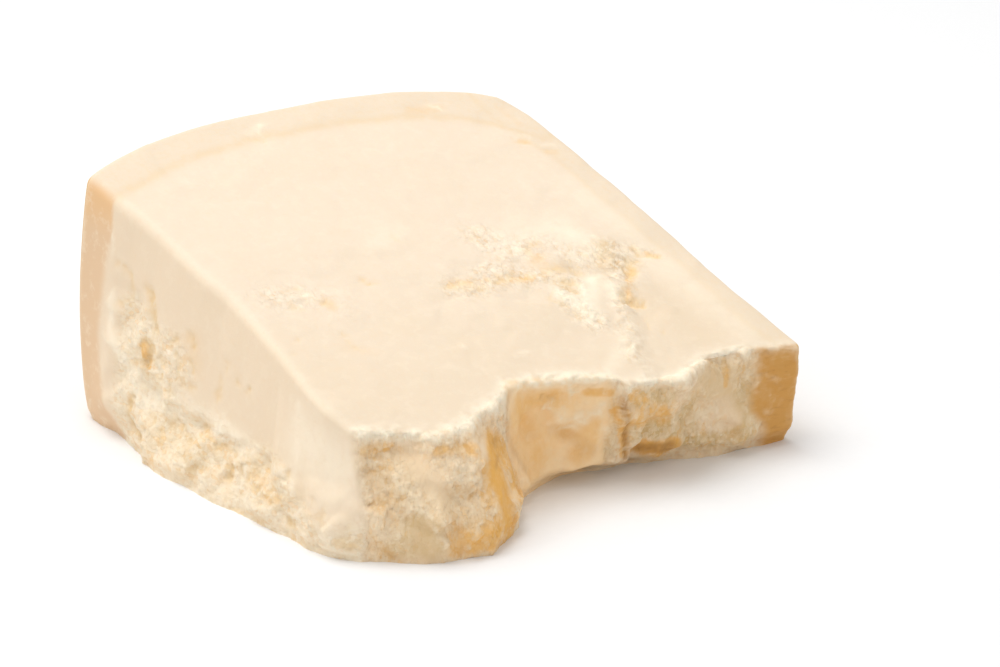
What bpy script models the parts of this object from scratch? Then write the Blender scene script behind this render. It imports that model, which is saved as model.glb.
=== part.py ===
"""A chunk broken from a wheel of hard, grainy cheese, lying on its lower cut face.

X runs along the heel, from the broken left side to the wheel's flat rind on the right.
Y runs from the broken front, at -Y, to the heel, which is the wheel's outer rind, at +Y.
Z is up from the flat face that it lies on, and the upper cut face slopes down to the front.
The chunk is one closed solid: a box with rounded edges whose walls are bent to the outlines
below, and then cragged where the paste is broken and left smooth where it is cut or rind.
"""

import itertools

import bpy
import numpy as np

MM = 0.001

# The cut block: mean width and depth in plan, and the heights of its two ends.
WIDTH = 153 * MM
DEPTH = 142 * MM
HEEL_HEIGHT = 79.2 * MM
FRONT_HEIGHT = 33.6 * MM
SIDE_LEAN = 6.9 * MM
EDGE_ROUND = 2.6 * MM

# The heel: the wheel's rounded rind, proud of the straight line between its two corners.
HEEL_BULGE = 14.8 * MM
HEEL_PEAK = 0.5
HEEL_POWERS = (2.9, 2.5)
HEEL_BELLY = 4.0 * MM

# The broken front, as (place along the front, set back from its straight line) in millimetres.
FRONT_EDGE = (
    (-76, 8.5), (-70, 6.5), (-62, 4.7), (-51, 1), (-45, 0.8), (-38, 3.4), (-26, 8), (-21, 13),
    (-2, 9.5), (12, 4), (14, 0), (31, -1.8), (44, 3), (60, 2), (75, -2),
)
FRONT_WAIST = (
    (-74, -2), (-64, -8), (-56, -12), (-42, -15.5), (-25, -3.5), (-17, 12),
    (0, 13), (11, 10.5), (16, 8.5), (25, 8), (31, 3), (45, 2), (64, 1), (75, 0),
)
WAIST_HEIGHT = 11 * MM
UNDERCUT = 9 * MM
UNDERCUT_HEIGHT = 7 * MM

# The broken left side, as (place from front to heel, bulge of its lower part) in millimetres.
LEFT_BELLY = (
    (-70, 1.5), (-61, 4), (-50, 6), (-25, 6.5), (5, 6.5), (22, 8), (36, 6.5), (48, 3.5), (60, 1.5), (66, 0),
)
LEFT_SPLAY = 5.5 * MM

# Its top edge is bowed inwards, as (place from front to heel, set in) in millimetres.
LEFT_EDGE = (
    (-71, -2.5), (-58, -1.8), (-47, -0.5), (-38, 0.9), (-28, 2.5), (-15, 4), (0, 5.2),
    (10, 4.4), (22, 4.4), (34, 4.8), (46, 4.4), (58, 2.8), (71, 0),
)
HEEL_SPLAY = 0.25
HEEL_TRIM = 1.9 * MM
LIP_HEIGHT = 19 * MM
LIP_GROOVE = 1.6 * MM
FACET_START = -31 * MM
FOOT_TUCK = 1.0 * MM
HEEL_TUCK = 4.4 * MM
HEEL_TUCK_HEIGHT = 12 * MM

# The rind side bows out towards the heel, as (place from front to heel, bow) in millimetres.
RIGHT_BOW = ((-71, 0.6), (-40, 0.8), (-28, 1.4), (-14, 3.2), (4, 3.3), (16, 4.1), (36, 4.8), (71, 4.4))

# The rind where the heel turns onto the left side stands out between floor and top.
SHOULDER_BELLY = 0.8 * MM

# The sunken shelf on the top, right of a crumbly ridge between these two plan points.
RIDGE_BACK = (53 * MM, -16 * MM)
RIDGE_FRONT = (32 * MM, -60 * MM)
SHELF_DROP = 1.9 * MM

# Corners worn off: plan place of each upright corner (0 or 1 across and back), how far it is
# pushed towards the middle, and reach.
WORN_CORNERS = ((0, 0, 3.5 * MM, 12 * MM), (1, 1, 5.0 * MM, 9 * MM))

# Crags of the broken paste: (cell size, height), coarse first. They fade out at the rind.
CRAGS = ((19 * MM, 1.9 * MM), (9 * MM, 1.2 * MM))
RIND_START = 60 * MM

# Cells along X, Y and Z.
CELLS = (48, 44, 15)

PASTE_COLOUR = (0.93, 0.77, 0.55, 1.0)
PASTE_ROUGHNESS = 0.6


def ramp(value, start, end):
    """0 before start, 1 past end and a smooth rise between them."""
    t = np.clip((value - start) / (end - start), 0.0, 1.0)
    return t * t * (3.0 - 2.0 * t)


def mix(low, high, share):
    """The value a share of the way from low to high."""
    return low + (high - low) * share


def outline(points, place):
    """Read an outline of (place, offset) points, both in millimetres, at a place in metres."""
    places, offsets = np.transpose(points) * MM
    return np.interp(place, places, offsets)


def facets(points, size, seed):
    """Uneven planes of broken grain, from -1 to 1: each cell has a height and a tilt of its
    own, and the planes of neighbouring cells melt together where they meet."""
    repeat = 32
    draws = np.random.default_rng(seed).random((repeat, repeat, repeat, 7))
    place = points / size
    home = np.floor(place).astype(int)
    total = np.zeros(len(points))
    weight = np.zeros(len(points))
    for step in itertools.product((-1, 0, 1), repeat=3):
        cell = home + step
        draw = draws[tuple((cell % repeat).T)]
        away = place - cell - draw[:, :3]
        share = np.exp(-9.0 * (away**2).sum(axis=1))
        plane = 2.0 * draw[:, 3] - 1.0 + (1.6 * (2.0 * draw[:, 4:] - 1.0) * away).sum(axis=1)
        total += share * plane
        weight += share
    return total / weight


def top_height(y):
    """Height of the sloping upper cut face above the floor."""
    return mix(FRONT_HEIGHT, HEEL_HEIGHT, 0.5 + y / DEPTH)


def heel_y(u, fill):
    """The heel across the chunk: a bow that falls off both ways from its peak, and a belly."""
    reach = np.where(u < HEEL_PEAK, HEEL_PEAK, 1.0 - HEEL_PEAK)
    power = np.where(u < HEEL_PEAK, *HEEL_POWERS)
    bow = 1.0 - np.abs((u - HEEL_PEAK) / reach) ** power
    belly = 4.0 * fill * (1.0 - fill)
    return DEPTH / 2 + HEEL_BULGE * bow + HEEL_BELLY * belly


def front_y(along, z, height):
    """The front from its top edge down to its waist, and under the waist the foot cut back."""
    edge = outline(FRONT_EDGE, along)
    waist = outline(FRONT_WAIST, along)
    undercut = UNDERCUT * ramp(along, -22 * MM, 12 * MM) * (1.0 - 0.6 * ramp(along, 32 * MM, 52 * MM))
    tuck = FOOT_TUCK * (1.0 - ramp(along, -22 * MM, 12 * MM))
    offset = mix(waist, edge, ramp(z, 0.5 * WAIST_HEIGHT, height))
    offset = offset + (undercut + tuck) * (1.0 - ramp(z, 0.0, UNDERCUT_HEIGHT))
    return offset - DEPTH / 2


def left_bulge(back, z, height):
    """How far the left side stands out: a bowed top edge, a splay all the way down, a shallow
    groove under a lip and then a belly. Near the front corner the belly starts at the top
    edge. At the heel the rind bellies out instead, and the foot there is set back."""
    belly = outline(LEFT_BELLY, back)
    lip = LIP_HEIGHT * (1.0 + 0.3 * ramp(back, 20 * MM, 42 * MM))
    start = mix(height, lip, ramp(back, FACET_START - 5 * MM, FACET_START + 5 * MM))
    slope = belly * (1.0 - ramp(z, -0.5 * start, start))
    groove = LIP_GROOVE * np.exp(-(((z - 0.88 * lip) / (2.6 * MM)) ** 2))
    groove = groove * ramp(back, FACET_START, -24 * MM) * (1.0 - ramp(back, 30 * MM, 44 * MM))
    fill = z / height
    shoulder = SHOULDER_BELLY * 4.0 * fill * (1.0 - fill) * ramp(back, 50 * MM, 70 * MM)
    splay = LEFT_SPLAY * (1.0 - fill) * (1.0 - HEEL_SPLAY * ramp(back, 52 * MM, 66 * MM))
    trim = HEEL_TRIM * ramp(back, 50 * MM, 70 * MM) + FOOT_TUCK * (1.0 - ramp(z, 0.0, 4 * MM))
    tuck = HEEL_TUCK * ramp(back, 29 * MM, 36 * MM) * (1.0 - 0.9 * ramp(back, 54 * MM, 66 * MM))
    tuck = tuck * (1.0 - ramp(z, 0.0, HEEL_TUCK_HEIGHT))
    bow = outline(LEFT_EDGE, back) * np.clip(fill, 0.0, 1.0) ** 1.5
    return splay + slope - groove + shoulder - trim - tuck - bow


def block(u, v, w):
    """Bend the unit box to the chunk: u runs across, v from front to heel, w from floor to top."""
    along = (u - 0.5) * WIDTH
    back = (v - 0.5) * DEPTH
    lean = -SIDE_LEAN * (2.0 * v - 1.0)
    tall = np.full_like(u, HEEL_HEIGHT)
    edge_y = mix(front_y(along, tall, FRONT_HEIGHT), heel_y(u, 1.0), v)
    height = top_height(edge_y)
    z = w * height
    y = mix(front_y(along, z, height), heel_y(u, w), v)
    x = along + lean - left_bulge(back, z, height) * (1.0 - u) + outline(RIGHT_BOW, back) * u
    return np.stack([x, y, z], axis=1)


def brokenness(points, normals):
    """1 on the broken front and lower left side, less on the top's crumbly band, 0 on rind."""
    x, y, z = points.T
    to_left = np.clip(-normals[:, 0], 0.0, 1.0) ** 2
    to_front = np.clip(-normals[:, 1], 0.0, 1.0) ** 2
    upward = np.clip(normals[:, 2], 0.0, 1.0) ** 2
    smooth_line = LIP_HEIGHT + 30 * MM * ramp(y, 16 * MM, 48 * MM)
    rough_left = 1.0 - ramp(z, smooth_line - 3 * MM, smooth_line + 3 * MM)
    rough_left = rough_left * (1.0 - ramp(y, 52 * MM, 60 * MM))
    rough_front = 1.0 - 0.8 * ramp(x, RIND_START, RIND_START + 12 * MM)
    band = np.exp(-(((y + 20 * MM + 0.25 * (x - 10 * MM)) / (17 * MM)) ** 2))
    band = band * ramp(x, -40 * MM, 40 * MM)
    return 0.9 * to_left * rough_left + to_front * rough_front + upward * (0.1 + 0.45 * band)


def relief(points, normals):
    """How far each point moves out along its normal: crags, less the sunken shelf."""
    x, y, z = points.T
    crags = sum(height * facets(points, size, seed) for seed, (size, height) in enumerate(CRAGS))
    grounded = ramp(z, 0.0, 6 * MM)
    run = np.subtract(RIDGE_BACK, RIDGE_FRONT)
    past = ((x - RIDGE_FRONT[0]) * run[1] - (y - RIDGE_FRONT[1]) * run[0]) / np.hypot(*run)
    shelf = SHELF_DROP * ramp(past, -1 * MM, 4 * MM) * (1.0 - 0.75 * ramp(past, 8 * MM, 34 * MM))
    shelf = shelf * (1.0 - ramp(y, RIDGE_BACK[1] - 4 * MM, RIDGE_BACK[1] + 10 * MM))
    upward = np.clip(normals[:, 2], 0.0, 1.0)
    return brokenness(points, normals) * crags * mix(0.5, 1.0, grounded) - shelf * upward


def worn(u, v):
    """The push in plan that rounds the upright corners, straight towards the middle."""
    push = np.zeros((len(u), 3))
    for across, back, depth, reach in WORN_CORNERS:
        away = np.hypot((u - across) * WIDTH, (v - back) * DEPTH)
        inward = np.array([0.5 - across, 0.5 - back, 0.0]) * np.sqrt(2.0)
        push += inward * (depth * np.exp(-((away / reach) ** 2)))[:, None]
    return push


def shell():
    """Points and faces of a box: four walls, a top and one flat base. Rounded edges have one
    cell. Returns points in the box's own sizes, with its corner at the origin."""
    sizes = (WIDTH, DEPTH, (HEEL_HEIGHT + FRONT_HEIGHT) / 2)
    across, back = (
        np.concatenate([[0.0], np.linspace(EDGE_ROUND, size - EDGE_ROUND, count - 1), [size]])
        for size, count in zip(sizes[:2], CELLS[:2])
    )
    up = np.append(np.linspace(0.0, sizes[2] - EDGE_ROUND, CELLS[2]), sizes[2])
    grid = np.stack(np.meshgrid(across, back, up, indexing="ij"), axis=-1)
    i, j, k = np.indices(grid.shape[:3])
    skin = (i == 0) | (i == CELLS[0]) | (j == 0) | (j == CELLS[1]) | (k == CELLS[2])
    number = np.full(grid.shape[:3], -1)
    number[skin] = np.arange(skin.sum())

    def quads(sheet, turned):
        corners = [sheet[:-1, :-1], sheet[1:, :-1], sheet[1:, 1:], sheet[:-1, 1:]]
        rows = np.stack(corners[::-1] if turned else corners, axis=-1)
        return rows.reshape(-1, 4).tolist()

    faces = quads(number[:, 0, :], False) + quads(number[:, -1, :], True)
    faces += quads(number[0], True) + quads(number[-1], False) + quads(number[:, :, -1], False)
    rim = number[:, :, 0]
    base = [*rim[0, :-1], *rim[:-1, -1], *rim[-1, :0:-1], *rim[:0:-1, 0]]
    faces.append([int(n) for n in base])
    return grid[skin], np.array(sizes), faces


def chunk_points(box, sizes):
    """Round the box's edges, bend it to the chunk and raise its crags."""
    low = np.array([EDGE_ROUND, EDGE_ROUND, 0.0])
    core = np.clip(box, low, sizes - EDGE_ROUND)
    normals = box - core
    normals /= np.linalg.norm(normals, axis=1, keepdims=True)
    u, v, w = ((core + normals * EDGE_ROUND) / sizes).T
    points = block(u, v, w)
    points = points + normals * relief(points, normals)[:, None] + worn(u, v)
    points[:, 2] = np.where(w > 0.0, points[:, 2], 0.0)
    middle = (points.min(axis=0) + points.max(axis=0)) / 2
    return points - [middle[0], middle[1], 0.0]


def paste_material():
    """Pale ivory paste with a dull surface."""
    material = bpy.data.materials.new("paste")
    material.use_nodes = True
    shader = material.node_tree.nodes["Principled BSDF"]
    shader.inputs["Base Color"].default_value = PASTE_COLOUR
    shader.inputs["Roughness"].default_value = PASTE_ROUGHNESS
    shader.inputs["Metallic"].default_value = 0.0
    return material


def cheese_chunk():
    """The whole chunk as one object that stands centred on the origin."""
    box, sizes, faces = shell()
    mesh = bpy.data.meshes.new("cheese_chunk")
    mesh.from_pydata(chunk_points(box, sizes).tolist(), [], faces)
    mesh.materials.append(paste_material())
    mesh.shade_smooth()
    mesh.set_sharp_from_angle(angle=0.8)
    chunk = bpy.data.objects.new("cheese_chunk", mesh)
    bpy.context.collection.objects.link(chunk)
    return chunk


for old in list(bpy.data.objects):
    bpy.data.objects.remove(old, do_unlink=True)
cheese_chunk()
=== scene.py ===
"""A chunk broken from a wheel of hard, grainy cheese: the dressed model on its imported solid.

Lengths are millimetres in the chunk's own plan until a mesh is made. X runs along the heel
from the broken left side to the wheel's flat rind, Y from the broken front to the heel, and
Z up from the flat cut face that the chunk lies on.
"""
import itertools
import math

import bpy
import numpy as np
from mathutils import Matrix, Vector


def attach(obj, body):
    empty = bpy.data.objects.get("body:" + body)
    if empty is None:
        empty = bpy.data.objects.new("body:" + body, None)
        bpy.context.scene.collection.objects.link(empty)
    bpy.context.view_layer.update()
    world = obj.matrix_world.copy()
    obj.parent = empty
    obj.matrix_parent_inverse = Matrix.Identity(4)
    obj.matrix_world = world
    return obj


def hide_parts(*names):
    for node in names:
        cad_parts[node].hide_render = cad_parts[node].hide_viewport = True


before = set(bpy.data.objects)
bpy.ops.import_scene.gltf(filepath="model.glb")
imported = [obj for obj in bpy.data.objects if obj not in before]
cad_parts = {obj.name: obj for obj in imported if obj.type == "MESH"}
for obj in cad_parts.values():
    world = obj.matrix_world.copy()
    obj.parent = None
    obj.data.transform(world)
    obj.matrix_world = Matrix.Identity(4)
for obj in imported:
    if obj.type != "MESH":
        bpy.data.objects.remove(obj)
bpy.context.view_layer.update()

MM = 0.001

# The cut block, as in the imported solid.
WIDTH = 153.0
DEPTH = 142.0
HEEL_HEIGHT = 79.2
FRONT_HEIGHT = 33.6
SIDE_LEAN = 6.9
EDGE_ROUND = 2.6
HEEL_BULGE = 14.8
HEEL_PEAK = 0.5
HEEL_POWERS = (2.9, 2.5)
HEEL_BELLY = 4.0
FRONT_EDGE = (
    (-76, 8.5), (-70, 6.5), (-62, 4.7), (-51, 1), (-45, 0.8), (-38, 3.4), (-26, 8), (-21, 13),
    (-2, 9.5), (12, 4), (14, 0), (31, -1.8), (44, 3), (60, 2), (75, -2),
)
FRONT_WAIST = (
    (-74, -2), (-64, -8), (-56, -12), (-42, -15.5), (-25, -3.5), (-17, 12),
    (0, 13), (11, 10.5), (16, 8.5), (25, 8), (31, 3), (45, 2), (64, 1), (75, 0),
)
WAIST_HEIGHT = 11.0
UNDERCUT = 9.0
UNDERCUT_HEIGHT = 7.0
LEFT_BELLY = (
    (-70, 1.5), (-61, 4), (-50, 6), (-25, 6.5), (5, 6.5), (22, 8), (36, 6.5), (48, 3.5), (60, 1.5), (66, 0),
)
LEFT_EDGE = (
    (-71, -2.5), (-58, -1.8), (-47, -0.5), (-38, 0.9), (-28, 2.5), (-15, 4), (0, 5.2),
    (10, 4.4), (22, 4.4), (34, 4.8), (46, 4.4), (58, 2.8), (71, 0),
)
LEFT_SPLAY = 5.5
HEEL_SPLAY = 0.25
HEEL_TRIM = 1.9
LIP_HEIGHT = 19.0
LIP_GROOVE = 1.1
FACET_START = -31.0
FOOT_TUCK = 1.0
HEEL_TUCK = 4.4
HEEL_TUCK_HEIGHT = 12.0
RIGHT_BOW = ((-71, 0.6), (-40, 0.8), (-28, 1.4), (-14, 3.2), (4, 3.3), (16, 4.1), (36, 4.8), (71, 4.4))
SHOULDER_BELLY = 0.8
RIDGE_BACK = (53.0, -16.0)
RIDGE_FRONT = (32.0, -60.0)
SHELF_DROP = 1.9
WORN_CORNERS = ((0, 0, 3.5, 12.0), (1, 1, 5.0, 9.0))
CRAGS = ((19.0, 1.9), (9.0, 1.2))
RIND_START = 60.0

# From the plan's own middle to the middle of the chunk's box.
SHIFT = (2.446, -1.804, 0.0)

# The two axes that places on a face are given along.
FACES = {"top": (0, 1), "left": (1, 2), "front": (0, 2)}
# The axis that each side faces along, and which way.
OUTWARD = {"left": (0, -1), "right": (0, 1), "front": (1, -1), "heel": (1, 1), "top": (2, 1)}

# Cells of the fine surface along X, Y and Z. Those along Y are smaller towards the front.
CELLS = (200, 186, 76)
FRONT_GRADE = 0.25

# The rind where the faces cut through it: (place, inner edge) of the bands it makes.
HEEL_BAND = (
    (-80, 57), (-77, 58.5), (-63, 63.4), (-42, 69.2), (-22.5, 71.6), (-4.5, 71),
    (13.5, 70.4), (31, 67.4), (47.5, 63.3), (59, 57), (63, 51.8), (70, 44),
)
RIGHT_BAND = (
    (-75, 76.5), (-69.5, 75.9), (-59.5, 74.2), (-46, 73.1), (-25, 73.7),
    (-8, 70.9), (10.5, 69.1), (30, 67.5), (47.5, 64.1), (58, 62),
)
LEFT_BAND = (
    (0, 46.5), (3, 48), (5.4, 51.4), (12, 56), (20, 58.6), (30, 61.2), (43, 60),
    (55, 59.6), (64, 58), (76, 58.8),
)
FRONT_BAND = ((0, 74), (8.4, 72), (14.4, 67), (19, 67.4), (23.6, 69.1), (29.7, 70.7), (33.7, 69.8))

# Crumbly places on the top, each a line of (x, y) with its reach and its strength.
TOP_CRUMBLE = (
    (((-58, 0), (-51, -3), (-43, -9)), 7.0, 0.35),
    (((-2, -14), (5, -15), (12, -12), (22, -17), (31, -24)), 5.5, 0.75),
    (((18, 4), (24, -4), (33, -6), (44, -14), (56, -18)), 7.0, 0.65),
    (((57, -14), (51, -24), (43, -38)), 4.5, 0.65),
    (((43, -38), (36, -49), (29, -61)), 4.0, 0.4),
    (((30, -24), (27, -33), (28, -42)), 4.5, 0.8),
    (((63, -15), (68, -19)), 3.0, 0.7),
)
RIDGE_LINE = ((56, -17), (50, -25), (42, -38), (35, -50), (29, -60))
RIDGE_HEIGHT = 0.5
RIDGE_REACH = 2.6
RIDGE_CHIP = 3.2
LEFT_PATCH = ((31, 36), (25, 35), (20, 31), (24, 26), (31, 28))
LEFT_PATCH_REACH = 5.5

# Marks that show one by one: a bent line on its face, its reach, and how far it stands out.
# A negative one is a pit, a groove or a crack. Places on the top are (x, y).
TOP_MARKS = (
    (((-4.5, -13), (4.5, -16)), 1.8, -0.6), (((11, -16), (16.5, -15.5), (20.5, -18.5)), 1.9, -1.0),
    (((28, -16.5), (39, -17.5)), 2.4, -0.8), (((28.5, -23.5), (34, -24.5)), 2.0, -1.2),
    (((29, -26), (30.5, -27.5), (31.5, -29.5)), 1.0, -1.8), (((33.5, -3), (30, -8)), 1.7, -0.7),
    (((18.5, 9), (15.5, 4.5)), 1.2, -0.5), (((18, -7),), 1.3, -0.5), (((40.5, -16), (44, -15.5)), 1.3, 0.6),
    (((37, -23), (32, -32.5), (28.5, -36.5), (27.5, -41.5)), 1.5, 0.9),
    (((24, -26), (22, -29.5), (23.5, -32), (25, -35), (25.5, -38.5)), 0.8, -0.5),
    (((25.5, -25), (25.5, -29), (27.5, -32.5), (28, -35)), 1.1, 0.6),
    (((60.5, -18.5), (56.5, -21.5)), 1.8, -1.2), (((55.5, -22), (53.5, -25)), 1.5, -2.0),
    (((44.5, -34), (45, -36.5), (46.5, -37.5)), 1.7, -2.4), (((64, -14.5), (63.5, -16)), 1.2, -1.2),
    (((64.5, -17.5), (68.5, -19)), 1.0, -1.1), (((45.5, -45), (43.5, -48)), 1.2, -0.5),
    (((47.5, -52),), 1.0, -0.5), (((55.5, -10.5), (52, -14.5), (48, -17)), 1.5, -0.7),
    (((52.5, -8),), 0.9, -0.6), (((44.5, -29), (44, -32), (38, -36.5)), 1.2, 0.6),
    (((32, -55.5), (30.5, -58.5)), 1.4, 0.6), (((31.5, -49.5),), 1.0, 0.4), (((17, -44),), 1.0, 0.5),
    (((-16.5, -39.5),), 0.9, 0.4), (((-4.5, -48.5), (-0.5, -47)), 0.9, 0.3),
    (((53, -6), (54.5, -7.5)), 0.9, 0.5), (((28, -68.5), (31.5, -67.5)), 1.2, 0.4), (((-57, 3),), 0.9, 0.4),
    (((-53.5, 0), (-50, 0.5)), 1.2, -0.5), (((-56, -5.5), (-54, -8)), 1.2, -0.5),
    (((-45, -7.5), (-44.5, -11)), 1.3, -0.8), (((-62, -20),), 1.1, -0.4), (((-67, -26),), 1.1, -0.4),
    (((-56.5, -2), (-48, -3.5)), 1.3, 0.3), (((-49, -21.5), (-49, -27), (-47.5, -31)), 1.2, -0.4),
    (((-28, -1), (-26.5, -3)), 1.2, -0.7), (((-8.5, 13.5), (-7, 11.5)), 1.1, -0.4),
    (((-15.5, 76.5), (-20.5, 74)), 1.4, 0.5), (((-23, 72.5), (-19, 70.5)), 1.2, -0.4),
    (((37.5, 70.5), (41, 68)), 1.3, -0.4), (((45, 70), (48, 68.5)), 1.2, 0.5),
    (((61.5, 45), (63.5, 43.5)), 1.4, -0.5), (((64, 46), (66.5, 45)), 1.0, 0.4),
    (((67.5, 36.5), (69.5, 37)), 1.3, -0.5), (((68.5, 39.5), (71, 39)), 1.0, 0.4),
)
# Marks on the left face, placed by (y, z).
LEFT_MARKS = (
    (((56, 56), (51.5, 55), (48, 51.5), (48.5, 47), (52.5, 43.5)), 1.0, -0.6),
    (((39.5, 52), (37.5, 48), (35.5, 44), (33.5, 40)), 1.3, -1.2),
    (((37.5, 34.5), (34.5, 33), (37.5, 28)), 1.8, -1.8), (((44.5, 28.5), (39.5, 28.5)), 1.2, -0.8),
    (((36, 25), (28, 27)), 0.8, -0.9), (((34.5, 21.5), (27.5, 24.5)), 0.8, -0.6),
    (((27, 37.5), (24.5, 40)), 1.0, -1.0), (((18.5, 43.5), (14.5, 40.5)), 1.0, -1.2),
    (((24, 34.5), (20, 32.5), (21.5, 28)), 1.1, -1.2), (((15, 34.5), (13, 32.5)), 1.0, -1.2),
    (((18.5, 26.5), (11.5, 28)), 1.0, -1.0), (((24, 24), (22, 23)), 1.0, -1.0),
    (((30.5, 32), (26.5, 30.5)), 1.0, -0.8), (((1.5, 33.5), (3, 27.5)), 1.2, -0.5),
    (((-0.5, 39),), 1.3, -0.6), (((-6.5, 34.5),), 1.3, -0.7), (((-12.5, 35),), 1.2, -0.8),
    (((40.5, 18), (43.5, 11.5), (42, 8), (33.5, 6)), 1.4, -2.0), (((57.5, 64), (56.5, 55.5)), 0.9, 0.4),
    (((55, 47), (56.5, 42), (55.5, 37.5)), 0.9, 0.4),
    (((59, 31.5), (52, 30.5), (46, 27.5), (42, 23), (40, 19), (36.5, 17)), 0.9, 0.5),
    (((36, 16.5), (26, 18.5), (12.5, 22)), 3.0, 0.2),
    (((9.5, 19), (4, 17.5), (-1.5, 15), (-5, 14.5), (-12, 14), (-15.5, 12)), 1.3, -0.9),
    (((2.5, 21.5), (-3.5, 20.5), (-12, 19.5), (-21, 18.5)), 1.6, 0.4), (((-2, 14.5),), 1.7, -1.2),
    (((-10, 10.5), (-11, 8.5)), 1.3, -1.4), (((-20.5, 13), (-23, 13)), 1.4, -1.0),
    (((-22.5, 19), (-21.5, 17)), 0.9, -0.6), (((-37.5, 18), (-38, 17.5)), 1.3, -1.3),
    (((-20, 10), (-26, 9)), 1.4, -1.2), (((-31, 9.5), (-33.5, 9), (-36, 10.5)), 1.3, -1.2),
    (((-41, 5.5), (-44.5, 5.5)), 1.4, -1.3), (((-59, 12),), 1.4, -0.8),
    (((-50.5, 15), (-54.5, 14.5)), 1.1, -0.6), (((-12, 2),), 1.0, -0.8),
    (((-37.5, 38.5), (-38.5, 31), (-40.5, 25), (-41, 18.5), (-42.5, 13)), 0.9, 0.15),
    (((-47, 0.5), (-61, 2), (-67.5, 1.5)), 0.7, -0.5), (((-54, 5), (-64.5, 5)), 0.7, -0.5),
    (((-15.5, 1.5), (-31, 2), (-42, 1)), 0.7, -0.5), (((-66.5, 6), (-68, 4.5)), 1.8, -1.8),
    (((25, 11.5), (19, 10)), 2.0, -0.5), (((10, 13), (3.5, 6.5)), 1.2, -0.7),
    (((30, 13.5), (16.5, 15)), 1.4, -0.6),
)
# Marks on the front, placed by (x, z).
FRONT_MARKS = (
    (((-70, 4), (-68, 4)), 1.6, -1.6), (((-68.5, 32.5), (-67.5, 31.5), (-68, 29)), 1.4, -0.5),
    (((-66, 31.5), (-64, 30.5)), 1.1, -0.4), (((-60, 31.5), (-57.5, 30.5)), 1.1, -0.4),
    (((-52, 32),), 1.2, -0.5), (((-49, 30.5), (-46.5, 30)), 1.1, -0.7),
    (((-43.5, 31), (-38.5, 30.5)), 1.3, -0.9), (((-38.5, 29),), 1.0, -0.7),
    (((-67.5, 24.5), (-65, 24.5)), 1.1, -0.5), (((-68.5, 21),), 1.1, -0.4),
    (((-65, 22), (-63.5, 20)), 1.0, -0.7), (((-70.5, 17), (-67, 17.5)), 1.5, -0.7),
    (((-67, 4.5), (-64.5, 11), (-61.5, 15), (-59.5, 16.5), (-57, 15), (-56, 12.5), (-54, 6.5)), 0.9, 0.7),
    (((-48.5, 23), (-46.5, 19), (-46, 16.5)), 0.8, 0.7), (((-44.5, 27), (-45, 22)), 0.8, 0.5),
    (((-40, 28), (-39.5, 25), (-41.5, 21.5), (-44.5, 19.5)), 0.9, 0.6),
    (((-36.5, 28.5), (-39, 21), (-41, 16)), 0.8, 0.8), (((-43, 19), (-43.5, 16)), 1.1, -1.0),
    (((-48.5, 17),), 1.0, -0.6), (((-26, 21.5), (-30.5, 21)), 1.1, -0.4),
    (((-37.5, 16), (-40.5, 14)), 0.8, 0.5), (((-38, 12), (-34.5, 9)), 0.9, 0.4),
    (((-24, 37.5), (-19, 37.5)), 1.1, 0.7), (((-23.5, 35.5), (-19, 36.5)), 0.8, 0.6),
    (((-25.5, 30.5), (-19.5, 26)), 1.0, 0.8), (((-23.5, 27), (-25.5, 25.5)), 1.0, -0.9),
    (((-32.5, 30),), 1.0, -0.7),
    (((-16, 37.5), (-20, 31.5), (-19.5, 26)), 0.9, 0.8),
    (((-4.5, 29.5), (-3.5, 31.5), (-0.5, 29.5)), 0.7, -0.9),
    (((-3, 27), (-1.5, 26.5), (-0.5, 28.5)), 0.8, 0.7), (((2.5, 25.5), (3.5, 26.5), (5.5, 24.5)), 0.7, 0.5),
    (((0.5, 24), (4.5, 22), (9, 23.5), (14.5, 24)), 1.0, 0.7),
    (((3.5, 19.5), (6.5, 20), (10, 21.5)), 0.9, 0.6), (((16, 26), (14.5, 21.5), (17, 15)), 1.0, 0.5),
    (((20, 29), (20.5, 21.5), (23.5, 13), (25.5, 6)), 1.0, -1.3),
    (((6.5, 34), (13.5, 33.5), (18, 33.5)), 1.2, -0.8), (((5.5, 36.5), (5.5, 31)), 0.9, 1.2),
    (((7.5, 32),), 0.9, 0.9), (((16.5, 30.5),), 0.8, 0.8), (((20.5, 32.5), (20.5, 29)), 1.2, 0.7),
    (((36, 24.5), (39.5, 13)), 0.7, 0.7), (((44.5, 33.5), (44.5, 32.5)), 1.3, -1.3),
    (((40, 32.5), (42, 24.5)), 0.7, 0.6), (((47, 26), (49, 23)), 0.8, 0.5),
    (((59, 31.5), (58.5, 24)), 0.7, -0.5), (((69, 22.5), (69, 19)), 0.7, 0.25),
    (((72, 19), (76, 16)), 0.7, 0.2), (((72, 24), (77, 22)), 0.7, 0.2), (((71, 15), (74.5, 13)), 0.7, 0.2),
    (((31.5, 8), (38.5, 7)), 2.2, -1.2), (((66, 17), (65.5, 8.5)), 0.7, 0.5),
    (((46, 11), (56.5, 7.5), (62.5, 9)), 0.9, -0.6),
)

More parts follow.
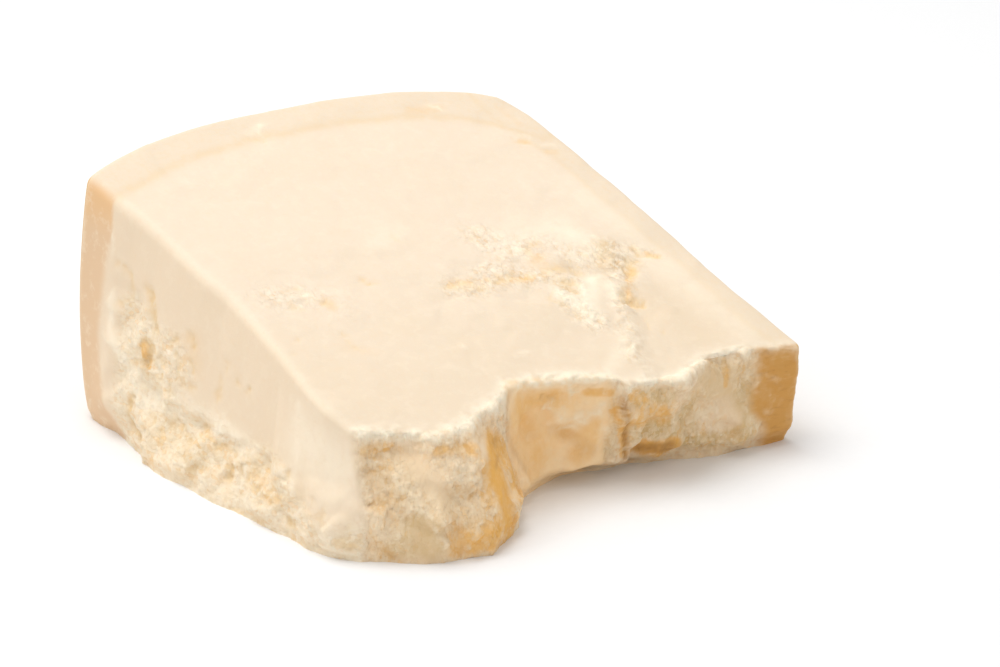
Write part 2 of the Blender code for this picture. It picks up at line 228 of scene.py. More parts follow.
# Patches of another tone, by tone and face: a line on the face, its reach and its strength. The gold ones
# are partly painted shade in pits, cracks, the shaded flank and the scoop; the pale ones partly painted
# highlight on crests and edges; the brownish ones painted shade in cracks, pits and along the scoop's
# border.
TONES = {
    # Golden paste, partly painted shade: in pits, in the crack and the groove under the overhang, on the
    # shaded flank and in the scoop's lower left.
    ("gold", "front"): (
        (((-69.5, 31), (-61, 31.5)), 2, 0.6), (((-49.5, 30), (-46, 29.5)), 1.8, 0.5),
        (((-42, 29), (-37, 28)), 2, 0.6), (((-46, 9.5), (-35.5, 8)), 5, 0.4),
        (((-48.5, 3.5), (-40.5, 5), (-29.5, 3.5)), 4.5, 0.6),
        (((-29, 24.5), (-30.5, 18.5), (-30, 10.5)), 6, 0.85), (((-37, 23), (-37.5, 15)), 3.5, 0.5),
        (((-22.5, 22), (-20, 10)), 4, 0.7), (((-13.5, 27), (-9, 16.5), (-6, 9)), 6.5, 0.4),
        (((-11, 33), (-1.5, 31.5)), 4, 0.4), (((-6.5, 27.5), (-0.5, 21.5), (-1, 14)), 6, 0.35),
        (((6.5, 19.5), (11.5, 20), (9.5, 12)), 5, 0.45), (((10.5, 31), (17, 30)), 1.8, 0.6),
        (((1.5, 30), (6.5, 28.5)), 4, 0.35), (((19, 24), (24.5, 7.5)), 2.2, 0.9),
        (((22.5, 29), (24.5, 27.5)), 2.5, 0.8), (((24, 21.5), (36, 19.5)), 6, 0.6),
        (((30, 9), (34.5, 7.5), (40.5, 7.5)), 4, 1), (((58.5, 32), (58, 24)), 1.3, 0.5),
    ),
    # Pale paste, partly a painted highlight: a lit strip under the top edge at the left, and crests.
    ("pale", "front"): (
        (((-70, 35), (-50, 34)), 2.2, 0.5), (((3, 23), (7.5, 20.5), (12.5, 23), (15.5, 26)), 1.8, 0.4),
        (((-59.5, 24), (-55.5, 20.5), (-57, 25.5)), 4.5, 0.2),
    ),
    ("olive", "front"): (
        (((-62, 24), (-60, 14), (-48, 14)), 9, 0.25), (((16, 26), (18.5, 10)), 4, 0.6),
        (((24.5, 27.5), (33.5, 26.5)), 3.5, 0.8), (((27.5, 16), (39, 14)), 6, 0.9),
        (((45.5, 18.5), (46.5, 8)), 4, 0.7), (((46.5, 8), (57, 6), (64, 8.5)), 3.2, 0.8),
        (((49, 26.5), (63.5, 24.5)), 7, 0.5), (((65, 18), (65.5, 8.5)), 4, 0.7),
        (((-63.5, 5.5), (-60, 10), (-57, 5)), 5, 0.6),
    ),
    # Painted shade: in the crack, the groove under the overhang and pits, and along the scoop's border.
    ("brown_shade", "front"): (
        (((-15, 36), (-18.5, 30), (-17.5, 24), (-14, 17), (-10, 10)), 1.2, 0.2),
        (((20, 29), (20.5, 21.5), (23.5, 13), (25.5, 6)), 1.1, 0.6), (((30, 8), (40, 7)), 2.6, 0.5),
        (((-26, 21.5), (-30, 21)), 1, 0.15), (((44.5, 33.5), (44.5, 32.5)), 1.3, 0.5),
        (((1, 20), (8, 16), (12, 12)), 2.5, 0.15),
    ),
    # Golden paste, partly painted shade in the deepest hole and the grooves.
    ("gold", "left"): (
        (((38, 33.5), (35, 29)), 2.5, 0.75), (((28.5, 37), (16, 42.5), (15.5, 33), (28, 27)), 4.5, 0.2),
        (((42, 14.5), (35, 6)), 3, 0.3), (((25.5, 2), (8, 3.5)), 2.5, 0.3),
        (((5.5, 17), (-3, 14), (-11.5, 9)), 3, 0.25), (((-21.5, 11), (-39.5, 10.5), (-57, 10.5)), 3, 0.25),
        (((-63.5, 12.5), (-66.5, 18)), 4, 0.12), (((65, 76), (64, 60.5)), 4, 0.5),
        (((10, 38), (-25, 30)), 14, 0.12),
    ),
    # Painted shade in the deepest hole.
    ("brown_shade", "left"): (
        (((37.5, 34.5), (34.5, 33), (37.5, 28)), 1.6, 0.12),
    ),
    ("olive", "left"): (
        (((25, 11.5), (10, 13), (2, 10)), 6, 0.35), (((-22, 14), (-42, 14)), 7, 0.2),
    ),
    # Pale paste, partly a painted highlight on crests, the lip and a soft edge.
    ("pale", "left"): (
        (((55.5, 44), (56, 35.5), (53, 32)), 2.2, 0.6), (((51, 31), (44.5, 25), (39.5, 19)), 1.8, 0.6),
        (((35.5, 17), (12.5, 22), (-12, 19.5)), 3.5, 0.35),
        (((-37.5, 38), (-40, 25.5), (-42, 14.5)), 1.6, 0.3), (((-44.5, 30), (-57.5, 24.5)), 9, 0.6),
        (((-57, 3), (-67.5, 2)), 3, 0.3),
    ),
    # Golden paste, partly painted shade in pits and grooves.
    ("gold", "top"): (
        (((-3.5, -12), (12.5, -14.5), (20.5, -18.5)), 2.6, 0.35),
        (((29.5, -12), (37, -20.5), (31, -28)), 5, 0.2), (((33.5, -4.5), (29.5, -10)), 3, 0.2),
        (((46, -35), (57, -22)), 2.2, 0.5), (((66, -17.5), (68.5, -20)), 1.5, 0.6),
        (((-52, -4), (-43.5, -7.5)), 5, 0.12), (((-28.5, -0.5), (-26, -3.5)), 2.2, 0.2),
        (((-45.5, -8), (-44.5, -11)), 2, 0.2), (((-52, -28.5), (-44, -32.5)), 3.5, 0.2),
        (((-22.5, -24), (-13.5, -42)), 14, 0.08), (((36, 69.5), (47.5, 69)), 3.5, 0.4),
        (((67, 62.5), (67.5, 52)), 3, 0.3), (((-19.5, 74), (-14.5, 73)), 3, 0.25),
        (((62.5, 45), (64.5, 43)), 1.6, 0.4), (((67.5, 36.5), (70, 35.5)), 1.6, 0.4),
    ),
    ("olive", "top"): (
        (((55, -11.5), (52, -18)), 4, 0.4), (((55, -39), (58.5, -55)), 9, 0.1),
    ),
    # Pale paste, partly a painted highlight on crests and edges.
    ("pale", "top"): (
        (((26, -27), (26.5, -32.5), (28, -37)), 2.2, 0.8),
        (((40.5, -24), (32.5, -33.5), (28.5, -40)), 2.6, 0.8), (((48.5, -4), (50, -9.5)), 5, 0.5),
        (((43, -28.5), (43, -33)), 2, 0.7), (((24.5, 2), (33, 3), (47.5, 2)), 6, 0.35),
        (((17, -64), (31.5, -53)), 3, 0.4), (((-12, 13.5), (-4, 15)), 5, 0.25),
        (((64, 15), (68, -20), (71, -60)), 6, 0.3),
    ),
}
# Smooth places on the front and the left: the face, a line on it and its reach.
SMOOTH = (
    ("front", ((-59, 10), (-58, 2)), 6.0),
    ("front", ((-56, 27), (-52, 20)), 5.0),
    ("front", ((-33, 27), (-30, 14)), 6.0),
    ("front", ((49, 27), (58, 22), (62, 14)), 6.0),
    ("left", ((-46, 36), (-54, 24), (-60, 18)), 10.0),
)
SCOOP_LEFT = -17.0
SCOOP_RIGHT = 19.0
# How much of a mark's height its face takes.
MARK_SHARE = {"top": 0.5, "left": 0.5, "front": 0.6}

# Soft borders of the cut rind: where it starts and is full, past its inner edge. On the left,
# where it is full depends on the height.
HEEL_SOFT = (-1.0, 2.0)
RIGHT_SOFT = (-1.0, 1.5)
FRONT_SOFT = (-3.5, 2.0)
LEFT_SOFT_START = -0.7
LEFT_SOFT_ENDS = (4.0, 1.0)
LEFT_SOFT_HEIGHTS = (50, 66)
# Patches on the front have firmer borders: their share where the border starts and is full.
FIRM_PATCH = (0.05, 0.9)
# Broken paste on the left ends on a line over the lip, which climbs towards the heel and drops
# at the front corner.
ROUGH_OVER_LIP = 2.0
ROUGH_CLIMB = 25.0
ROUGH_DROP = 9.0
# Reaches of the darker seams along the heel's and the right band, and of the pale rims, which are partly
# dry paste and partly a painted highlight of the rounded edges.
HEEL_SEAM = 2.0
RIGHT_SEAM = 1.4
RIM_REACH = 3.0
SOFT_EDGE_REACH = 2.4

# Chips of broken paste: (size, height) of a coarse and a fine kind.
LEFT_CHIPS = ((3.4, 0.24), (1.7, 0.15))
FRONT_CHIPS = ((4.2, 0.32), (2.0, 0.17))
CHIP_SHARPNESS = 20.0
GRAIN_SIZE = 1.7
# Flaky layers: size, seed and steps, and their height.
LEFT_FLAKES = (9.0, 20, 3)
LEFT_FLAKE_HEIGHT = 0.6
FRONT_FLAKES = (14.0, 24, 4)
FRONT_FLAKE_HEIGHT = 0.9
# Small hollows: cell size, seed and share of the cells that hold one, and their depth.
LEFT_PITS = (2.6, 1, 0.22)
LEFT_PIT_DEPTH = 0.25
FRONT_PITS = (3.4, 2, 0.25)
FRONT_PIT_DEPTH = 0.4
NESTS = (2.2, 5, 0.4)
NEST_DEPTH = 0.35
# How chips and flakes are stretched where they lie flat, and chips where they stand upright.
LYING = (1.0, 0.5, 1.0)
STANDING = (1.0, 1.0, 0.45)
# Bends of all these patterns: size, push and seed.
COARSE_BEND = (6.0, 1.4, 10)
FINE_BEND = (2.2, 0.6, 13)
# Heights of the finest relief, with upright fibres in the scoop and level strands in the cut
# rind, and of the slow swell under it.
CRUMBLE_GRAIN = 0.14
FRONT_GRAIN = 0.05
FRONT_RIM_GRAIN = 0.2
RIM_GRAIN = 0.06
FIBRE_HEIGHT = 0.16
FIBRE_STRETCH = (1.0, 1.0, 0.3)
STRAND_HEIGHT = 0.3
STRAND_STRETCH = (0.3, 1.0, 1.0)
SWELL_HEIGHT = 0.2
# Edges that turn by more than this many radians are sharp.
SHARP_TURN = 1.1


def ramp(value, start, end):
    """0 before start, 1 past end and a smooth rise between them: 3tt - 2ttt."""
    t = np.clip((value - start) / (end - start), 0.0, 1.0)
    return t * t * (3.0 - 2.0 * t)


def mix(low, high, share):
    """The value a share of the way from low to high."""
    return low + (high - low) * share


def outline(points, place):
    """Read an outline of (place, offset) points at a place."""
    places, offsets = np.transpose(points).astype(float)
    return np.interp(place, places, offsets)


def bell(away, reach):
    """1 at no distance, falling off as exp(-(away/reach)^2)."""
    return np.exp(-((away / reach) ** 2))


def line_distance(points, face, line):
    """Distance of each point from a bent line or a spot on a face, the least over its runs."""
    across, along = (points[:, axis] for axis in FACES[face])
    best = np.full(len(points), np.inf)
    for (x0, y0), (x1, y1) in zip(line, line[1:] or line):
        run_x, run_y = x1 - x0, y1 - y0
        share = ((across - x0) * run_x + (along - y0) * run_y) / (run_x**2 + run_y**2 + 1e-9)
        share = np.clip(share, 0.0, 1.0)
        best = np.minimum(best, np.hypot(across - x0 - share * run_x, along - y0 - share * run_y))
    return best


# Random patterns, each drawn once on a lattice that repeats after so many cells.
REPEAT = 32


def cells_near(points, size, draws):
    """In turn every lattice cell within one of the points' own: the way to each point from the
    one drawn in the cell, and the cell's draws."""
    place = points / size
    home = np.floor(place).astype(int)
    for step in itertools.product((-1, 0, 1), repeat=3):
        cell = home + step
        draw = draws[tuple((cell % REPEAT).T)]
        yield place - cell - draw[:, :3], draw


def facets(points, size, seed, sharpness=9.0, tilt=1.6):
    """Uneven planes of broken grain, from -1 to 1: each cell of a cubic lattice has a height
    and a tilt of its own, weighted by exp(-sharpness r^2) from a point drawn in that cell."""
    draws = np.random.default_rng(seed).random((REPEAT, REPEAT, REPEAT, 7))
    total, weight = np.zeros((2, len(points)))
    for away, draw in cells_near(points, size, draws):
        share = np.exp(-sharpness * (away**2).sum(axis=1)) + 1e-30
        plane = 2.0 * draw[:, 3] - 1.0 + (tilt * (2.0 * draw[:, 4:] - 1.0) * away).sum(axis=1)
        total += share * plane
        weight += share
    return total / weight


def clouds(points, size, seed):
    """Smooth noise from -1 to 1: values drawn at lattice corners, blended by 3tt - 2ttt."""
    draws = 2.0 * np.random.default_rng(100 + seed).random((REPEAT, REPEAT, REPEAT)) - 1.0
    place = points / size
    home = np.floor(place).astype(int)
    t = place - home
    t = t * t * (3.0 - 2.0 * t)
    total = np.zeros(len(points))
    for step in itertools.product((0, 1), repeat=3):
        weight = np.where(step, t, 1.0 - t).prod(axis=1)
        total += weight * draws[tuple(((home + step) % REPEAT).T)]
    return total


def pocks(points, size, seed, share):
    """Small hollows from 0 to 1: a share of the lattice cells holds one of its own reach, whose
    depth falls off as 1 - (r/reach)^2."""
    draws = np.random.default_rng(200 + seed).random((REPEAT, REPEAT, REPEAT, 5))
    deepest = np.zeros(len(points))
    for away, draw in cells_near(points, size, draws):
        reach = 0.25 + 0.4 * draw[:, 3]
        depth = np.clip(1.0 - (away**2).sum(axis=1) / reach**2, 0.0, 1.0) * (draw[:, 4] < share)
        deepest = np.maximum(deepest, depth)
    return deepest


def ledges(points, size, seed, steps):
    """Flaky layers: smooth noise cut into flats, each with one steep edge of height 1/steps."""
    level = steps * clouds(points, size, seed)
    flat = np.floor(level)
    return (flat + ramp(level - flat, 0.72, 1.0)) / steps


def warped(points, size, amount, seed):
    """The points pushed about by three smooth noises, so that patterns read there bend."""
    push = [clouds(points, size, seed + axis) for axis in range(3)]
    return points + amount * np.stack(push, axis=1)


# The bent block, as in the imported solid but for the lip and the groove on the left, which waver.
def top_height(y):
    """Height of the sloping upper cut face above the floor."""
    return mix(FRONT_HEIGHT, HEEL_HEIGHT, 0.5 + y / DEPTH)


def heel_y(u, fill):
    """The heel across the chunk: a bow that falls off both ways from its peak, and a belly."""
    reach = np.where(u < HEEL_PEAK, HEEL_PEAK, 1.0 - HEEL_PEAK)
    power = np.where(u < HEEL_PEAK, *HEEL_POWERS)
    bow = 1.0 - np.abs((u - HEEL_PEAK) / reach) ** power
    return DEPTH / 2 + HEEL_BULGE * bow + HEEL_BELLY * 4.0 * fill * (1.0 - fill)


def front_y(along, z, height):
    """The front from its top edge down to its waist, and under the waist the foot cut back."""
    edge = outline(FRONT_EDGE, along)
    waist = outline(FRONT_WAIST, along)
    undercut = UNDERCUT * ramp(along, -22, 12) * (1.0 - 0.6 * ramp(along, 32, 52))
    tuck = FOOT_TUCK * (1.0 - ramp(along, -22, 12))
    offset = mix(waist, edge, ramp(z, 0.5 * WAIST_HEIGHT, height))
    offset = offset + (undercut + tuck) * (1.0 - ramp(z, 0.0, UNDERCUT_HEIGHT))
    return offset - DEPTH / 2


def left_bulge(back, z, height):
    """How far the left side stands out: a bowed top edge, a splay all the way down, a groove
    under a wavering lip, then a belly, which near the front corner starts at the top edge."""
    belly = outline(LEFT_BELLY, back)
    where = np.stack([back, 0 * z, 0 * back], axis=1)
    lip = LIP_HEIGHT * (1.0 + 0.3 * ramp(back, 20, 42)) + 1.8 * clouds(where, 9.0, 41)
    start = mix(height, lip, ramp(back, FACET_START - 5, FACET_START + 5))
    slope = belly * (1.0 - ramp(z, -0.5 * start, start))
    groove = LIP_GROOVE * bell(z - 0.88 * lip, 2.2) * (0.8 + 0.6 * clouds(where, 7.0, 42))
    groove = groove * ramp(back, FACET_START, -24) * (1.0 - 0.7 * ramp(back, 4, 16))
    groove = groove * (1.0 - ramp(back, 30, 44))
    fill = z / height
    shoulder = SHOULDER_BELLY * 4.0 * fill * (1.0 - fill) * ramp(back, 50, 70)
    splay = LEFT_SPLAY * (1.0 - fill) * (1.0 - HEEL_SPLAY * ramp(back, 52, 66))
    trim = HEEL_TRIM * ramp(back, 50, 70) + FOOT_TUCK * (1.0 - ramp(z, 0, 4))
    tuck = HEEL_TUCK * ramp(back, 29, 36) * (1.0 - 0.9 * ramp(back, 54, 66))
    tuck = tuck * (1.0 - ramp(z, 0, HEEL_TUCK_HEIGHT))
    bow = outline(LEFT_EDGE, back) * np.clip(fill, 0.0, 1.0) ** 1.5
    return splay + slope - groove + shoulder - trim - tuck - bow


def block(u, v, w):
    """Bend the unit box to the chunk: u runs across, v from front to heel, w from floor to top."""
    along = (u - 0.5) * WIDTH
    back = (v - 0.5) * DEPTH
    lean = -SIDE_LEAN * (2.0 * v - 1.0)
    tall = np.full_like(u, HEEL_HEIGHT)
    edge_y = mix(front_y(along, tall, FRONT_HEIGHT), heel_y(u, 1.0), v)
    height = top_height(edge_y)
    z = w * height
    y = mix(front_y(along, z, height), heel_y(u, w), v)
    x = along + lean - left_bulge(back, z, height) * (1.0 - u) + outline(RIGHT_BOW, back) * u
    return np.stack([x, y, z], axis=1)


# Where each kind of surface lies, from 0 to 1 at every point.
def top_crumble(points, waver):
    """How crumbly the top is: the strongest of its places, each falling off from its line."""
    crumble = np.zeros(len(points))
    for line, reach, strength in TOP_CRUMBLE:
        crumble = np.maximum(crumble, strength * bell(line_distance(points, "top", line), reach))
    return np.clip(crumble * (1.0 + 0.6 * waver), 0.0, 1.0)


def add_tones(points, area, waver):
    """Shares of the patches of tone, each laid over the last ones: 1 - (1 - old) (1 - new)."""
    for tone_name in ("gold", "pale", "olive", "brown_shade"):
        area[tone_name] = np.zeros(len(points))
    for (tone_name, face), places in TONES.items():
        for line, reach, strength in places:
            share = bell(line_distance(points, face, line) * (1.0 + 0.3 * waver), reach)
            share = strength * area[face] * (ramp(share, *FIRM_PATCH) if face == "front" else share)
            area[tone_name] = 1.0 - (1.0 - area[tone_name]) * (1.0 - share)


def regions(points, normals, u, v, w):
    """Shares of every face, of cut rind, of broken paste, of rims and of patches of tone."""
    x, y, z = points.T
    area = {
        side: np.clip(way * normals[:, axis], 0.0, 1.0) ** 2
        for side, (axis, way) in OUTWARD.items()
    }
    # Cut rind, past a wavering inner edge on each face.
    waver = clouds(points, 11.0, 1) + 0.5 * clouds(points, 4.0, 2)
    past_heel = y - outline(HEEL_BAND, x) + 0.8 * waver
    past_right = x - outline(RIGHT_BAND, y) + 0.5 * waver
    past_left = y - outline(LEFT_BAND, z) + 0.7 * waver
    past_front = x - outline(FRONT_BAND, z) + waver
    top_rind = np.maximum(ramp(past_heel, *HEEL_SOFT), ramp(past_right, *RIGHT_SOFT))
    left_rind = ramp(past_left, LEFT_SOFT_START, mix(*LEFT_SOFT_ENDS, ramp(z, *LEFT_SOFT_HEIGHTS)))
    area["section"] = (
        area["top"] * top_rind + area["left"] * left_rind + area["front"] * ramp(past_front, *FRONT_SOFT)
    )
    area["outer"] = area["right"] + area["heel"]
    seams = np.maximum(bell(past_heel, HEEL_SEAM), 0.6 * bell(past_right, RIGHT_SEAM))
    area["seam"] = area["top"] * seams
    # Rims along the top edges, ragged at the front, painted pale: partly dry paste and partly a painted
    # highlight of the rounded edges.
    below = (1.0 - w) * HEEL_HEIGHT
    ragged = np.clip(0.75 + 0.9 * clouds(points, 2.4, 35) + 0.5 * clouds(points, 1.2, 36), 0.0, 1.0)
    area["front_rim"] = bell(v * DEPTH + 0.6 * below, RIM_REACH) * (1.0 - 0.4 * ramp(x, 64, 72)) * ragged
    # The soft top-left edge painted pale: partly dry paste, partly a painted highlight.
    soft_edge = 0.35 * bell(u * WIDTH + below, SOFT_EDGE_REACH) * (1.0 - left_rind) * (0.8 + 0.2 * waver)
    area["rim"] = np.maximum(soft_edge, area["front_rim"])
    # Broken, crumbly and smooth places.
    rough_line = LIP_HEIGHT + ROUGH_OVER_LIP + ROUGH_CLIMB * ramp(y, 12, 44) + 2.0 * waver
    rough_line -= ROUGH_DROP * (1.0 - ramp(y, -46, -36))
    rough_left = (1.0 - ramp(z, rough_line - 5, rough_line + 5)) * (1.0 - ramp(y, 47, 55))
    crumble = top_crumble(points, waver)
    patch = bell(line_distance(points, "left", LEFT_PATCH), LEFT_PATCH_REACH) * (1.0 - ramp(y, 44, 50))
    area["crumble"] = area["top"] * crumble + area["left"] * patch
    scoop = ramp(x, SCOOP_LEFT - 2, SCOOP_LEFT + 2) * (1.0 - ramp(x, SCOOP_RIGHT - 3, SCOOP_RIGHT))
    area["scoop"] = area["front"] * scoop
    calm = np.zeros_like(x)
    for face, line, reach in SMOOTH:
        calm = np.maximum(calm, area[face] * bell(line_distance(points, face, line), reach))
    area["broken"] = np.clip(
        area["left"] * np.maximum(0.85 * rough_left, 0.6 * patch) * (1.0 - left_rind)
        + area["front"] * (1.0 - 0.75 * scoop) * (1.0 - 0.85 * area["section"])
        + area["top"] * (0.05 + 0.6 * crumble), 0.0, 1.0,
    ) * (1.0 - 0.75 * calm)
    add_tones(points, area, waver)
    return area


def crag_share(points, area):
    """How strongly the coarse crags show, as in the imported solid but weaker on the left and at
    the right end of the top."""
    x, y, z = points.T
    smooth_line = LIP_HEIGHT + 30.0 * ramp(y, 16, 48)
    rough_left = (1.0 - ramp(z, smooth_line - 3, smooth_line + 3)) * (1.0 - ramp(y, 52, 60))
    rough_front = 1.0 - 0.8 * ramp(x, RIND_START, RIND_START + 12)
    band = bell(y + 20 + 0.25 * (x - 10), 17.0) * ramp(x, -40, 40) * (1.0 - ramp(x, 52, 62))
    sides = 0.65 * area["left"] * rough_left + area["front"] * rough_front
    return sides + area["top"] * (0.1 + 0.45 * band)


def shelf_drop(points):
    """The sunken shelf on the top, right of its ridge."""
    x, y = points.T[:2]
    run_x, run_y = np.subtract(RIDGE_BACK, RIDGE_FRONT)
    past = ((x - RIDGE_FRONT[0]) * run_y - (y - RIDGE_FRONT[1]) * run_x) / np.hypot(run_x, run_y)
    past = past + 1.6 * clouds(points, 5.0, 37)
    shelf = 0.7 * SHELF_DROP * ramp(past, -2, 6) * (1.0 - 0.75 * ramp(past, 8, 34))
    return shelf * (1.0 - ramp(y, RIDGE_BACK[1] - 4, RIDGE_BACK[1] + 10))


def marked(points, area, waver):
    """How far the marks stand out and how deep they lie: height exp(-(d/reach)^2), summed for
    each sign and face, with the share that the face takes of it."""
    out, deep, change = np.zeros((3, len(points)))
    for face, marks in (("top", TOP_MARKS), ("left", LEFT_MARKS), ("front", FRONT_MARKS)):
        for line, reach, height in marks:
            away = line_distance(points, face, line) * (1.0 + 0.35 * waver) + 0.3 * reach * waver
            size = area[face] * height * bell(away, reach)
            out += np.maximum(size, 0.0)
            deep -= np.minimum(size, 0.0)
            change += MARK_SHARE[face] * size
    return out, deep, change


def chips_of(kinds, places, seed, tilt):
    """Chips of a coarse kind at the first places and of a fine kind at the second ones."""
    total = 0.0
    for step, ((size, height), place) in enumerate(zip(kinds, places)):
        total = total + height * facets(place, size, seed + step, CHIP_SHARPNESS, tilt)
    return total


def relief(points, normals, area):
    """Height of each point along its normal, where painted shade fills its hollows, and where its crests
    are painted pale, partly dry paste and partly a painted highlight.
    """
    left, front, crumble = area["left"], area["front"], area["crumble"]
    grounded = ramp(points[:, 2], 0.0, 6.0)
    crags = sum(height * facets(points, size, seed) for seed, (size, height) in enumerate(CRAGS))
    rise = crag_share(points, area) * crags * mix(0.5, 1.0, grounded)
    rise -= shelf_drop(points) * np.clip(normals[:, 2], 0.0, 1.0)
    bent = warped(points, *COARSE_BEND)
    torn = warped(bent, *FINE_BEND)
    waver = clouds(points, 2.6, 3) + 0.5 * clouds(points, 1.3, 4)
    lying, standing = torn * LYING, torn * STANDING
    grain = facets(torn, GRAIN_SIZE, 7, CHIP_SHARPNESS, 2.0)
    chips_left = chips_of(LEFT_CHIPS, (lying, torn), 5, 2.0)
    chips_front = chips_of(FRONT_CHIPS, (standing, torn), 8, 2.2)
    chips = mix(chips_left, chips_front, front)
    flakes = LEFT_FLAKE_HEIGHT * ledges(lying, *LEFT_FLAKES) * left
    flakes += FRONT_FLAKE_HEIGHT * ledges(bent, *FRONT_FLAKES) * front
    broken = area["broken"] * mix(0.6, 1.0, grounded)
    pits = pocks(lying, *LEFT_PITS) * left + pocks(torn, *FRONT_PITS) * front
    rise += broken * (chips + flakes - mix(FRONT_PIT_DEPTH, LEFT_PIT_DEPTH, left) * pits)
    nests = pocks(torn, *NESTS) * crumble
    rise += (CRUMBLE_GRAIN * crumble + FRONT_GRAIN * front) * grain - NEST_DEPTH * nests
    ridge = bell(line_distance(points, "top", RIDGE_LINE), RIDGE_REACH) * area["top"]
    rise += RIDGE_HEIGHT * ridge * (0.6 + 0.9 * facets(torn, RIDGE_CHIP, 11, CHIP_SHARPNESS))
    out, deep, change = marked(torn, area, waver)
    fibres = clouds(points * FIBRE_STRETCH, 2.2, 30)
    strands = clouds(points * STRAND_STRETCH, 1.8, 33)
    rise += FIBRE_HEIGHT * area["scoop"] * fibres + STRAND_HEIGHT * front * area["section"] * strands
    swell = clouds(points, 24.0, 31) + 0.5 * clouds(points, 9.0, 32)
    rise += SWELL_HEIGHT * swell * (area["outer"] + area["top"] + left)
    rise += (FRONT_RIM_GRAIN * area["front_rim"] + RIM_GRAIN * area["rim"]) * grain
    grit = 0.75 + 0.5 * grain
    # Painted shade fills the hollows: deep marks, pits and nests.
    hollow_shade = np.clip((deep / 1.1 + 0.3 * broken * pits + 0.45 * nests) * grit, 0.0, 1.0)
    # Crests and clumps painted pale: partly dry paste, partly a painted highlight.
    clumps = np.maximum(broken * ramp(chips, 0.15, 0.4) * 0.5, crumble * ramp(grain, 0.2, 0.7) * 0.6)
    crest_pale_and_highlight = np.clip(out / 0.9 * grit + clumps, 0.0, 1.0)
    return rise + change * (0.85 + 0.3 * grain), hollow_shade, crest_pale_and_highlight


def worn(u, v):
    """The push in plan that rounds the upright corners, straight towards the middle: depth
    exp(-(d/reach)^2) at a distance d from each."""
    push = np.zeros((len(u), 3))
    for across, back, depth, reach in WORN_CORNERS:
        away = np.hypot((u - across) * WIDTH, (v - back) * DEPTH)
        inward = np.array([0.5 - across, 0.5 - back, 0.0]) * math.sqrt(2.0)
        push += inward * (depth * bell(away, reach))[:, None]
    return push


def shell():
    """Points and faces of a box open to the bending above: four walls, a top and one flat base."""
    sizes = np.array([WIDTH, DEPTH, (HEEL_HEIGHT + FRONT_HEIGHT) / 2])
    shares = [np.linspace(0.0, 1.0, count + 1) for count in CELLS]
    shares[1] = shares[1] * (1.0 - FRONT_GRADE * (1.0 - shares[1]))
    grid = np.stack(np.meshgrid(*(s * size for s, size in zip(shares, sizes)), indexing="ij"), axis=-1)
    i, j, k = np.indices(grid.shape[:3])
    skin = (i == 0) | (i == CELLS[0]) | (j == 0) | (j == CELLS[1]) | (k == CELLS[2])
    number = np.full(grid.shape[:3], -1)
    number[skin] = np.arange(skin.sum())

    def quads(sheet, turned):
        """The four-cornered faces of a sheet of point numbers, turned over if asked."""
        corners = [sheet[:-1, :-1], sheet[1:, :-1], sheet[1:, 1:], sheet[:-1, 1:]]
        return np.stack(corners[::-1] if turned else corners, axis=-1).reshape(-1, 4)

    walls = [quads(number[:, 0, :], False), quads(number[:, -1, :], True)]
    walls += [quads(number[0], True), quads(number[-1], False), quads(number[:, :, -1], False)]
    rim = number[:, :, 0]
    base = np.concatenate([rim[0, :-1], rim[:-1, -1], rim[-1, :0:-1], rim[:0:-1, 0]])
    return grid[skin], sizes, np.concatenate(walls), base


def new_mesh(name, points, loops, sizes):
    """A mesh from points in millimetres and its faces' corners, given as one row of corner
    numbers and one of corner counts."""
    mesh = bpy.data.meshes.new(name)
    mesh.vertices.add(len(points))
    mesh.vertices.foreach_set("co", (points * MM).astype(np.float32).ravel())
    mesh.loops.add(len(loops))
    mesh.loops.foreach_set("vertex_index", loops.astype(np.int32))
    mesh.polygons.add(len(sizes))
    starts = np.concatenate([[0], np.cumsum(sizes)[:-1]])
    mesh.polygons.foreach_set("loop_start", starts.astype(np.int32))
    mesh.polygons.foreach_set("loop_total", np.asarray(sizes, np.int32))
    mesh.update(calc_edges=True)
    return mesh


def put(name, data):
    """A new object in the scene, made from its mesh, camera or light."""
    thing = bpy.data.objects.new(name, data)
    bpy.context.scene.collection.objects.link(thing)
    return thing


# The shares kept on the mesh's points, for the material to read. Those for hollows, brownish patches,
# crests and rims place painted shade and painted highlights, and the gold and pale ones partly so.
KEPT = (
    "top", "left", "front", "section", "outer", "seam", "rim", "broken", "crumble",
    "gold", "pale", "olive", "brown_shade", "hollow_shade", "crest_pale_and_highlight", "scoop",
)


def chunk(material):
    """The whole chunk: a box with rounded edges, bent to its form and given its fine relief."""
    box, sizes, walls, base = shell()
    low = np.array([EDGE_ROUND, EDGE_ROUND, 0.0])
    core = np.clip(box, low, sizes - EDGE_ROUND)
    normals = box - core
    normals /= np.linalg.norm(normals, axis=1, keepdims=True)
    u, v, w = ((core + normals * EDGE_ROUND) / sizes).T
    points = block(u, v, w)
    area = regions(points, normals, u, v, w)
    rise, area["hollow_shade"], area["crest_pale_and_highlight"] = relief(points, normals, area)
    points = points + normals * rise[:, None] + worn(u, v)
    points[:, 2] = np.where(w > 0.0, points[:, 2], 0.0)
    points += SHIFT
    loops = np.concatenate([walls.ravel(), base])
    mesh = new_mesh("cheese", points, loops, [4] * len(walls) + [len(base)])
    for name in KEPT:
        layer = mesh.attributes.new(name, "FLOAT", "POINT")
        layer.data.foreach_set("value", area[name].astype(np.float32))
    mesh.shade_smooth()
    mesh.set_sharp_from_angle(angle=SHARP_TURN)
    mesh.materials.append(material)
    piece = put("cheese", mesh)
    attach(piece, "root")
    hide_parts("cheese_chunk")


